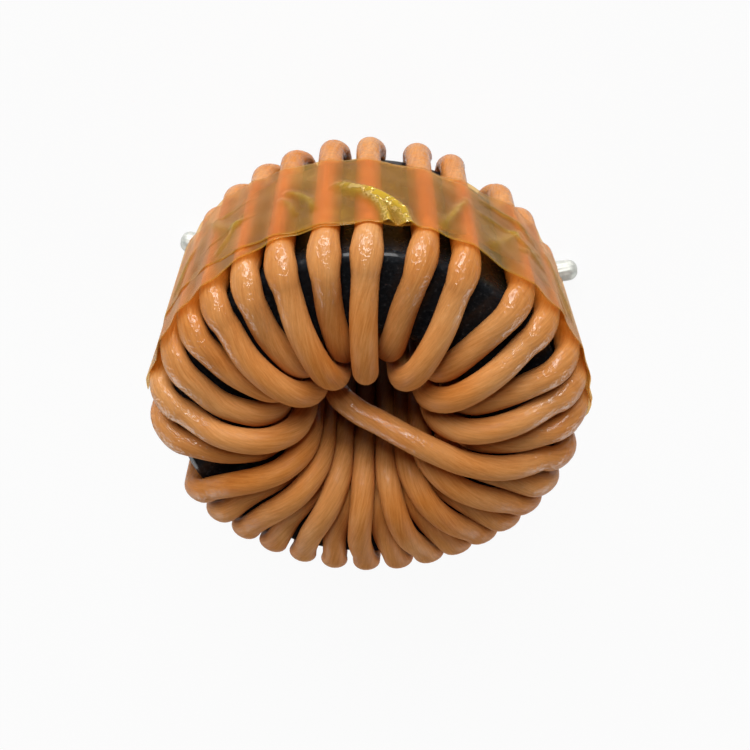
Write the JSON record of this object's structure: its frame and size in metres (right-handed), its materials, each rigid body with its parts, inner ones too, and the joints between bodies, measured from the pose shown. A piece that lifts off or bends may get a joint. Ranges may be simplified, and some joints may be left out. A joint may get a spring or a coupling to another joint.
{
  "type": "toroidal inductor",
  "caption": "Ring-core power choke wound by hand with thick served litz wire, bound with amber film tape, its last turn crossing the hole and both tinned wire ends at the rear rim",
  "frame": {"origin": "on the ring's axis, in the plane that the rear turns rest on", "axes": "+Z along the ring's axis from the rear face to the front face, +X towards the side where the wire starts, +Y towards the top of the picture"},
  "size_m": [0.0573, 0.0544, 0.0358],
  "materials": {
    "core_coating": "glossy black resin coating over the pressed ring",
    "served_litz": "tan fibre serving over stranded copper, stiffened with varnish",
    "film_tape": "amber see-through film, glossy and wrinkled",
    "tinned_copper": "solder-dipped copper strands, dull silver"
  },
  "bodies": {
    "root": {"ring_core": "core_coating", "winding": "served_litz", "tape_band": "film_tape", "start_tip": "tinned_copper", "finish_tip": "tinned_copper"}
  },
  "joints": []
}
